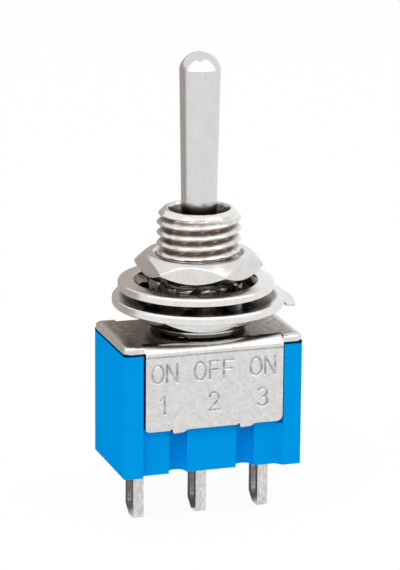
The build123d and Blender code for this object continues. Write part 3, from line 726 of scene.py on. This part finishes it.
darker = add_node(inked_nickel, "ShaderNodeMix", {"data_type": "RGBA", 7: linear(GROOVE_GRIME)},
                  {0: groove_share.outputs[0], 6: plain_colour})
inked_nickel.node_tree.links.new(darker.outputs[2], panel_shader.inputs["Base Color"])
panel = make_piece("cover_plate_text", [stamped_panel(strokes)], inked_nickel, "switch_body", sharp=60,
                   wrap_rows=False, caps=True)
spots = np.empty(len(panel.data.vertices) * 3)
panel.data.vertices.foreach_get("co", spots)
depth = spots[1::3] / MM - PLATE_FRONT
share = np.where(depth < STROKE_DEPTH * 1.01, np.clip(depth / STROKE_DEPTH, 0, 1) * GROOVE_SHARE, 0)
write_attribute(panel.data, "groove", "POINT", share)
mark_sheared(panel.data)


def slab(x_low, x_high, y_low, y_high, z_low, z_high):
    """A box as two loops of four corners."""
    loop = np.array([(y_low, z_low), (y_high, z_low), (y_high, z_high), (y_low, z_high)])
    return np.stack([np.column_stack([np.full(4, x), loop]) for x in (x_low, x_high)])


TAB_PLACE = 2.5
TAB_HALF = 0.55
SLIT_WIDTH = 0.14
SLIT_DEPTH = 0.4
SLIT_LOW = -6.3
SLIT_HIGH = -6.0
NOTCH_HEIGHT = 0.07
LOBE_DROP = 0.3
LOBE_RIGHT = 0.7
LOBE_ROUND = 0.1
LOBE_DEPTH = 0.45
FLAP_STEP = 0.01


def closed_slit(place, flap):
    """The metal that the crimp has pushed into the slit at a tab's left side, as a box.  It stops
    short below, where the tab has pulled away and leaves a notch."""
    sides = (place + flap * TAB_HALF, place + flap * (TAB_HALF + SLIT_WIDTH))
    depths = (-flap * (PLATE_FRONT + FLAP_STEP), -flap * (PLATE_FRONT + SLIT_DEPTH))
    return slab(*sorted(sides), *sorted(depths), SLIT_LOW + NOTCH_HEIGHT, SLIT_HIGH)


def pulled_tab(place, flap):
    """A crimp tab's bulge below the flap's edge: its outline in the XZ plane drops at one side and
    runs out along a quarter of a cosine at the other; it is carried back in Y with a rounded toe."""
    run = np.linspace(0, 1, 10)
    toe = np.stack([LOBE_ROUND + (LOBE_RIGHT - LOBE_ROUND) * run,
                    SLIT_LOW - LOBE_DROP * np.cos(run * np.pi / 2)], axis=-1)
    outline = np.concatenate([
        [[-TAB_HALF, SLIT_HIGH], [-TAB_HALF, SLIT_LOW - LOBE_DROP * 0.7],
         [-TAB_HALF + LOBE_ROUND, SLIT_LOW - LOBE_DROP]],
        toe, [[LOBE_RIGHT, SLIT_HIGH]],
    ])
    rows = []
    for inset, y in ((LOBE_ROUND, FLAP_STEP), (0, FLAP_STEP + LOBE_ROUND), (0, LOBE_DEPTH)):
        z = outline[:, 1] + inset * (outline[:, 1] < SLIT_LOW - LOBE_ROUND)
        rows.append(np.column_stack([outline[:, 0], np.full(len(outline), PLATE_FRONT + y), z]))
    bulge = np.stack(rows) + [place, 0, 0]
    return bulge * [-flap, -flap, 1]


crimps = [(place, flap) for place in (-TAB_PLACE, TAB_PLACE) for flap in (-1, 1)]
slits = make_piece("cover_plate_closed_slits", [closed_slit(*crimp) for crimp in crimps],
                   stamped_nickel, "switch_body", wrap_rows=False, caps=True)
tabs = make_piece("cover_plate_pulled_tabs", [pulled_tab(*crimp) for crimp in crimps],
                  stamped_nickel, "switch_body", wrap_rows=False, caps=True)
# The tabs' sides, like the flaps', are painted near-black as shade.
mark_sheared(tabs.data)


# ---- Hexagon nuts ----
# Two nuts turned from brass hexagon bar and screwed on the bushing: their faces are coned so that
# each flat ends in an arc, their bores are countersunk, and the lower one stands on a round boss.
NUT_FLATS = 8.0
NUT_FACE_RADIUS = 3.75
NUT_CONE = math.tan(math.radians(42))
NUT_SINK_RADIUS = 3.2
NUT_BOSS_RADIUS = 3.4
NUT_EDGE = 0.05
NUT_FACE_EDGE = 0.12
NUT_CLEARANCE = 0.02
LOWER_NUT_BOSS = 0.42
LOWER_NUT_SLOPE = 0.2
LOWER_NUT_TURN = 12
UPPER_NUT_TURN = 6
HEX_SHARPNESS = 90


def hexagon_radius(theta, turn):
    """Radius of a hexagon with slightly rounded corners: half the flats over the p-norm of the
    cosines to its six flats, which is exact on a flat and rounds off between two of them."""
    flats = np.radians(turn + 60 * np.arange(6))
    cosines = np.clip(np.cos(theta[:, None] - flats), 0, None)
    return NUT_FLATS / 2 / (cosines ** HEX_SHARPNESS).sum(axis=1) ** (1 / HEX_SHARPNESS)


def nut_piece(name, node, turn, material, top_slope, boss_height):
    """A nut as a section for each angle: countersink, face, cone down to where it meets the flat,
    flat, cone and face again, a round boss if there is one, and the bore along the thread."""
    low, high = [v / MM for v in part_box(node)]
    theta = np.linspace(0, 2 * np.pi, 480, endpoint=False)
    wall = hexagon_radius(theta, turn)
    foot = low.z + boss_height
    boss_radius = NUT_BOSS_RADIUS if boss_height else NUT_FACE_RADIUS - NUT_EDGE
    sink = NUT_SINK_RADIUS - THREAD_RADIUS + THREAD_DEPTH
    corners = ring_of_corners(theta, [
        (NUT_SINK_RADIUS, high.z),
        (NUT_FACE_RADIUS, high.z),
        (wall, high.z - (wall - NUT_FACE_RADIUS) * top_slope),
        (wall, foot + (wall - NUT_FACE_RADIUS) * NUT_CONE),
        (NUT_FACE_RADIUS, foot),
        (boss_radius, foot),
        (boss_radius, low.z),
        (NUT_SINK_RADIUS, low.z),
        (thread_radius(theta, low.z + sink) + NUT_CLEARANCE, low.z + sink),
        (thread_radius(theta, high.z - sink) + NUT_CLEARANCE, high.z - sink),
    ])
    rounding = np.full(corners.shape[:2], NUT_EDGE)
    rounding[:, [1, 4]] = NUT_FACE_EDGE
    section = soften(corners, rounding)
    heights = np.linspace(low.z + sink, high.z - sink, 14)[1:-1]
    turned, height = np.meshgrid(theta, heights, indexing="ij")
    bore = np.stack([thread_radius(turned, height) + NUT_CLEARANCE, height], axis=-1)
    section = np.concatenate([section[:, :-4], bore, section[:, -4:]], axis=1)
    nut = make_piece(name, [around(theta, section)], material, "switch_body", sharp=28)
    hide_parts(node)


# Bright nickel over drawn flats mirrors the room in long soft streaks; the lower nut's boss is
# painted dark below its top edge, as the shade under the hexagon.
OILED_BOSS = ("height", 0.44, 0.36, 0.04, "#2a211b", 0.9)
NUT_SKIN = dict(bright="#e2e1e0", stain="#d2cfcc", stain_mm=0.9, roughness=0.2, stretch=(1, 1, 6),
                bump=0.002)
bright_nickel = plated("bright_nickel_nut", **NUT_SKIN)
filmed_nickel = plated("nickel_nut_with_shaded_boss", **NUT_SKIN, films=[OILED_BOSS])
nut_piece("lower_nut_turned", "lower_nut", LOWER_NUT_TURN, filmed_nickel,
          top_slope=LOWER_NUT_SLOPE, boss_height=LOWER_NUT_BOSS)
nut_piece("upper_nut_turned", "upper_nut", UPPER_NUT_TURN, bright_nickel,
          top_slope=NUT_CONE, boss_height=0)


# ---- Locating ring ----
# Blanked from steel, tumbled and nickel plated; a tab bent down at one side drops into a hole of
# the panel, and a key runs in the bushing's keyway.
ring_low, ring_high = [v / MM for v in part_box("locating_ring")]
RING_RADIUS = ring_high.y
RING_THICKNESS = 0.65
RING_EDGE = 0.2
RING_INNER_EDGE = 0.06
RING_BORE = 3.06
KEY_HALF = 0.34
KEY_TIP = 2.61
TAB_HALF_WIDTH = 1.1
TAB_SHEET = 0.65
TAB_INNER_BEND = 0.45
TAB_ROOT = 0.6
TAB_SINK = 0.005
TAB_FOOT = (0.06, 0.08)
ring_theta = split_angles(360, RING_BORE, KEY_HALF)
ring_inner = np.where(within_key(ring_theta, RING_BORE, KEY_HALF),
                      flat_radius(ring_theta, KEY_TIP), RING_BORE)
ring_bottom = ring_high.z - RING_THICKNESS
ring_corners = ring_of_corners(ring_theta, [
    (ring_inner, ring_bottom), (RING_RADIUS, ring_bottom),
    (RING_RADIUS, ring_high.z), (ring_inner, ring_high.z),
])
ring_rounding = np.full(ring_corners.shape[:2], RING_EDGE)
ring_rounding[:, [0, 3]] = RING_INNER_EDGE
ring_section = soften(ring_corners, ring_rounding, 7)
# Tumbled before plating, so the rim is soft and catches a thin bright line; inside the lock
# washer's outline the ring is painted brown-black with a ragged edge, as the shade and dark
# reflection of the washer over it.
RING_OIL = ("radius", 5.75, 5.35, 0.12, "#38281d", 0.93)
RING_SKIN = dict(bright="#ecebea", stain="#d9d5d2", stain_mm=0.8, roughness=0.2, bump=0.0015)
tumbled_nickel = plated("nickel_on_blanked_steel", **RING_SKIN)
filmed_ring = plated("nickel_with_painted_shade_under_the_washer", **RING_SKIN, films=[RING_OIL])


def bent_tab():
    """The tab's section in the XZ plane, a strip with one quarter bend, carried across in Y."""
    outer = ring_high.x
    inner = outer - TAB_SHEET
    bend = np.array([inner - TAB_INNER_BEND, ring_high.z - TAB_SHEET - TAB_INNER_BEND])
    quarter = np.linspace(0, np.pi / 2, 12)
    compass = np.stack([np.sin(quarter), np.cos(quarter)], axis=-1)
    under = bend + TAB_INNER_BEND * compass
    over = bend + (TAB_INNER_BEND + TAB_SHEET - TAB_SINK) * compass[::-1]
    root = RING_RADIUS - TAB_ROOT
    foot_x, foot_z = TAB_FOOT
    outline = np.concatenate([
        [[root, under[0, 1]]], under,
        [[inner, ring_low.z + foot_z], [inner + foot_x, ring_low.z],
         [outer - foot_x, ring_low.z], [outer, ring_low.z + foot_z]],
        over, [[root, over[-1, 1]]],
    ])
    return np.stack([np.column_stack([outline[:, 0], np.full(len(outline), y), outline[:, 1]])
                     for y in (-TAB_HALF_WIDTH, TAB_HALF_WIDTH)])


ring = make_piece("locating_ring_tumbled", [around(ring_theta, ring_section)], filmed_ring,
                  "switch_body", sharp=35)
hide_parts("locating_ring")
tab = make_piece("locating_tab_bent", [bent_tab()], tumbled_nickel, "switch_body", sharp=35,
                 wrap_rows=False, caps=True)


# ---- Lock washer ----
# Spring steel, nickel plated: a flat rim with eight teeth inside it, each twisted about its own
# length so that one edge bites the nut and the other the ring.
washer_low, washer_high = [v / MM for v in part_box("lock_washer")]
WASHER_RADIUS = (washer_high.x - washer_low.x) / 2
WASHER_CENTRE = (washer_low.x + washer_high.x) / 2
WASHER_RIM = 1.15
WASHER_SHEET = 0.6
TOOTH_COUNT = 8
TOOTH_WIDTH = 1.45
TOOTH_TWIST = math.radians(40)
TOOTH_TIP = 3.32
TOOTH_SQUEEZE = 0.965
TWIST_LENGTH = 0.8
TOOTH_ROOT = 0.4
TOOTH_ROOT_SCALE = 0.9
TOOTH_TIP_EDGE = 0.05
TOOTH_TIP_SCALE = 0.08
TOOTH_EDGE = 0.08
RIM_EDGE = 0.17
RIM_INNER_EDGE = 0.05
RIM_RISE = 0.08
washer_middle = (washer_low.z + washer_high.z) / 2
washer_theta = np.linspace(0, 2 * np.pi, 320, endpoint=False)
rim_corners = np.array([
    [WASHER_RADIUS - WASHER_RIM, -WASHER_SHEET / 2],
    [WASHER_RADIUS, -WASHER_SHEET / 2],
    [WASHER_RADIUS, WASHER_SHEET / 2],
    [WASHER_RADIUS - WASHER_RIM, WASHER_SHEET / 2],
]) + [0, washer_middle + RIM_RISE]
rim_section = soften(rim_corners, np.array([RIM_INNER_EDGE, RIM_EDGE, RIM_EDGE, RIM_INNER_EDGE]), 7)
rim_section = np.broadcast_to(rim_section, (len(washer_theta),) + rim_section.shape)


def twisted_tooth(number):
    """A tooth as a rounded rectangle carried inwards from the rim: along the radius it turns by
    the twist times 3s^2 - 2s^3, where s runs from 0 at the rim to 1 before the tip."""
    inner = WASHER_RADIUS - WASHER_RIM
    along = np.concatenate([[inner + TOOTH_ROOT], np.linspace(inner, inner - TWIST_LENGTH, 10),
                            [TOOTH_TIP + TOOTH_TIP_EDGE, TOOTH_TIP]])
    s = np.clip((inner - along) / TWIST_LENGTH, 0, 1)
    ease = 3 * s ** 2 - 2 * s ** 3
    twist = TOOTH_TWIST * ease
    scale = 1 + (TOOTH_SQUEEZE - 1) * ease
    scale[-1] -= TOOTH_TIP_SCALE
    scale[0] = TOOTH_ROOT_SCALE
    half = np.array([TOOTH_WIDTH / 2, WASHER_SHEET / 2])
    corners = np.array([[-1, -1], [1, -1], [1, 1], [-1, 1]]) * half
    loop = soften(corners, np.full(4, TOOTH_EDGE), 4)
    across = loop[None, :, 0] * scale[:, None]
    above = loop[None, :, 1] * scale[:, None]
    y = across * np.cos(twist)[:, None] - above * np.sin(twist)[:, None]
    z = across * np.sin(twist)[:, None] + above * np.cos(twist)[:, None] + RIM_RISE * (1 - ease)[:, None]
    x = np.broadcast_to(along[:, None], y.shape)
    angle = (number + 0.5) * 2 * np.pi / TOOTH_COUNT
    return np.stack([x * math.cos(angle) - y * math.sin(angle) + WASHER_CENTRE,
                     x * math.sin(angle) + y * math.cos(angle), z + washer_middle], axis=-1)


# The rim is plated like the ring; the teeth lie in the upper nut's shadow and are painted a dark
# brown grey, brown-black on their lower half, which leaves only the upper edges pale.
TOOTH_OIL = ("height", 3.2, 2.8, 0.15, "#3d2b1f", 0.93)
filmed_teeth = plated("nickel_with_painted_shade_on_the_teeth", "#857a6f", "#40362e", stain_mm=0.4,
                      roughness=0.22, bump=0.0015, films=[TOOTH_OIL])
washer_rim = make_piece("lock_washer_rim", [around(washer_theta, rim_section) + [WASHER_CENTRE, 0, 0]],
                        tumbled_nickel, "switch_body", sharp=35)
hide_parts("lock_washer")
teeth = make_piece("lock_washer_teeth", [twisted_tooth(n) for n in range(TOOTH_COUNT)], filmed_teeth,
                   "switch_body", sharp=40, wrap_rows=False, caps=True)


# ---- Studio ----
# White paper in a white room, with two soft lamps in front.  What the metal mirrors is set by two
# cards that only reflections see, a softbox in front and a grey one behind, and by the paper,
# which reflections see greyer at the back left and dark close behind, as a painted shadow of the
# switch.
FLOOR_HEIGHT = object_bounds()[0].z - 0.02 * MM
FLOOR_HALF = 0.9
SWITCH_MIDDLE = (0, 0, 3)
UNSEEN_SKY = 0.6
PAPER_GLOW = 1.045
PAPER_GLOW_SHARE = 0.88
DIM_AZIMUTH = 118
DIM_SPREAD = (0.6, 0.85)
DIM_FADE = (62, 100)
DIM_FADE_TO = 0.8
DIM_GREY = "#b3ada8"
# A painted shadow of the switch on the paper, which only reflections see.
UNDER_RADII = (30, 16)
UNDER_SPREAD = (-0.2, 0.3)
UNDER_GREY = "#4a423c"
floor_mesh = bpy.data.meshes.new("floor")
floor_mesh.from_pydata([(x * FLOOR_HALF, y * FLOOR_HALF, FLOOR_HEIGHT)
                        for x, y in ((-1, -1), (1, -1), (1, 1), (-1, 1))], [], [(0, 1, 2, 3)])
floor = in_scene("floor", floor_mesh)
paper = bpy.data.materials.new("white_paper")
paper.use_nodes = True
paper.node_tree.nodes.clear()


def seen_ray(owner):
    """A light path node and a socket that is 1 for each ray the eye can follow: straight from the
    camera, off metal or through something clear."""
    path = add_node(owner, "ShaderNodeLightPath")
    total = path.outputs["Is Camera Ray"]
    for kind in ("Is Glossy Ray", "Is Transmission Ray"):
        total = add_node(owner, "ShaderNodeMath", {"operation": "MAXIMUM"},
                         {0: total, 1: path.outputs[kind]}).outputs[0]
    return path, total


EASED = {"interpolation_type": "SMOOTHSTEP"}
path, seen = seen_ray(paper)
share = add_node(paper, "ShaderNodeMath", {"operation": "MULTIPLY", 1: PAPER_GLOW_SHARE}, {0: seen})
matt = add_node(paper, "ShaderNodeBsdfDiffuse", {"Color": linear("#f2f2f2")})
spot = add_node(paper, "ShaderNodeTexCoord")
flat = add_node(paper, "ShaderNodeVectorMath", {"operation": "MULTIPLY", 1: (1, 1, 0)},
                {0: spot.outputs["Object"]})
way = add_node(paper, "ShaderNodeVectorMath", {"operation": "NORMALIZE"}, {0: flat.outputs["Vector"]})
angle = math.radians(DIM_AZIMUTH)
facing = add_node(paper, "ShaderNodeVectorMath",
                  {"operation": "DOT_PRODUCT", 1: (math.cos(angle), math.sin(angle), 0)},
                  {0: way.outputs["Vector"]})
dim = add_node(paper, "ShaderNodeMapRange",
               {**EASED, "From Min": DIM_SPREAD[0], "From Max": DIM_SPREAD[1]},
               {"Value": facing.outputs["Value"]})
reach = add_node(paper, "ShaderNodeVectorMath", {"operation": "LENGTH"}, {0: flat.outputs["Vector"]})
fade = add_node(paper, "ShaderNodeMapRange",
                {"From Min": DIM_FADE[0] * MM, "From Max": DIM_FADE[1] * MM,
                 "To Min": 1.0, "To Max": DIM_FADE_TO},
                {"Value": reach.outputs["Value"]})
near = add_node(paper, "ShaderNodeMapRange",
                {**EASED, "From Min": UNDER_RADII[0] * MM, "From Max": UNDER_RADII[1] * MM},
                {"Value": reach.outputs["Value"]})
behind = add_node(paper, "ShaderNodeSeparateXYZ", links={0: way.outputs["Vector"]})
in_shade = add_node(paper, "ShaderNodeMapRange",
                    {**EASED, "From Min": UNDER_SPREAD[0], "From Max": UNDER_SPREAD[1]},
                    {"Value": behind.outputs["Y"]})
beneath = {}
for tone, factors in ((DIM_GREY, (dim, fade)), (UNDER_GREY, (near, in_shade))):
    tinted = path.outputs["Is Glossy Ray"]
    for factor in factors:
        tinted = add_node(paper, "ShaderNodeMath", {"operation": "MULTIPLY"},
                          {0: tinted, 1: factor.outputs["Result"]}).outputs[0]
    mix = add_node(paper, "ShaderNodeMix", {"data_type": "RGBA", 6: linear("#ffffff"), 7: linear(tone)},
                   {0: tinted, **beneath})
    beneath = {6: mix.outputs[2]}
glow = add_node(paper, "ShaderNodeEmission", {"Strength": PAPER_GLOW}, {"Color": mix.outputs[2]})
blend = add_node(paper, "ShaderNodeMixShader",
                 links={0: share.outputs[0], 1: matt.outputs[0], 2: glow.outputs[0]})
add_node(paper, "ShaderNodeOutputMaterial", links={"Surface": blend.outputs[0]})
floor_mesh.materials.append(paper)

world = bpy.data.worlds.new("studio")
bpy.context.scene.world = world
world.use_nodes = True
world.node_tree.nodes.clear()
strength = add_node(world, "ShaderNodeMapRange", {"To Min": UNSEEN_SKY, "To Max": 1.0},
                    {"Value": seen_ray(world)[1]})
sky = add_node(world, "ShaderNodeBackground", {"Color": linear("#ffffff")},
               {"Strength": strength.outputs["Result"]})
add_node(world, "ShaderNodeOutputWorld", links={"Surface": sky.outputs[0]})


def lamp(name, place, size, power):
    """A square soft lamp at a place in millimetres, turned to the middle of the switch."""
    data = bpy.data.lights.new(name, "AREA")
    data.size = size * MM
    data.energy = power
    holder = in_scene(name, data)
    start = Vector(place) * MM
    holder.location = start
    holder.rotation_euler = (Vector(SWITCH_MIDDLE) * MM - start).to_track_quat("-Z", "Y").to_euler()
    holder.visible_glossy = False


lamp("key_lamp", (-220, -200, 260), 240, 0.42)
lamp("fill_lamp", (260, -160, 120), 200, 0.18)


def card(name, azimuths, heights, distance, colour, strength, count=32):
    """A curved sheet round the switch that only reflections see: part of a cylinder between two
    azimuths, in degrees from +X, and two heights in millimetres."""
    angle = np.radians(np.linspace(azimuths[0], azimuths[1], count))
    rows = [np.stack([distance * np.cos(angle), distance * np.sin(angle), np.full(count, h)], axis=-1)
            for h in heights]
    mesh = bpy.data.meshes.new(name)
    mesh.from_pydata((np.concatenate(rows) * MM).tolist(), [],
                     [(i, i + 1, i + count + 1, i + count) for i in range(count - 1)])
    sheet = in_scene(name, mesh)
    for rays in ("camera", "diffuse", "transmission", "volume_scatter", "shadow"):
        setattr(sheet, "visible_" + rays, False)
    material = bpy.data.materials.new(name)
    material.use_nodes = True
    material.node_tree.nodes.clear()
    light = add_node(material, "ShaderNodeEmission", {"Color": linear(colour), "Strength": strength})
    add_node(material, "ShaderNodeOutputMaterial", links={"Surface": light.outputs[0]})
    mesh.materials.append(material)


card("softbox", (178, 345), (18, 600), 200, "#ffffff", 1.6)
card("grey_card", (71, 165), (-13.6, 34), 58, "#b8b1ab", 1.0)


# ---- Camera ----
# A long lens a little above the plate's top, turned to show the left end of the case.
CAMERA_AZIMUTH = -18.45
CAMERA_ELEVATION = 15.33
CAMERA_ROLL = 0.488
CAMERA_DISTANCE = 220.0
CAMERA_TARGET = (0.124, 0.0, 3.093)
CAMERA_LENS = 195.67
azimuth, elevation = math.radians(CAMERA_AZIMUTH), math.radians(CAMERA_ELEVATION)
back = Vector((math.sin(azimuth) * math.cos(elevation), -math.cos(azimuth) * math.cos(elevation),
               math.sin(elevation)))
right = Vector((math.cos(azimuth), math.sin(azimuth), 0))
up = back.cross(right)
roll = math.radians(CAMERA_ROLL)
rolled_right = right * math.cos(roll) + up * math.sin(roll)
rolled_up = up * math.cos(roll) - right * math.sin(roll)
camera_data = bpy.data.cameras.new("camera")
camera_data.lens = CAMERA_LENS
camera_data.sensor_width = 36.0
camera_data.clip_start = 0.001
camera = in_scene("camera", camera_data)
turning = Matrix((rolled_right, rolled_up, back)).transposed().to_4x4()
camera.matrix_world = Matrix.Translation((Vector(CAMERA_TARGET) + back * CAMERA_DISTANCE) * MM) @ turning
bpy.context.scene.camera = camera
bpy.context.scene.view_settings.view_transform = "Standard"
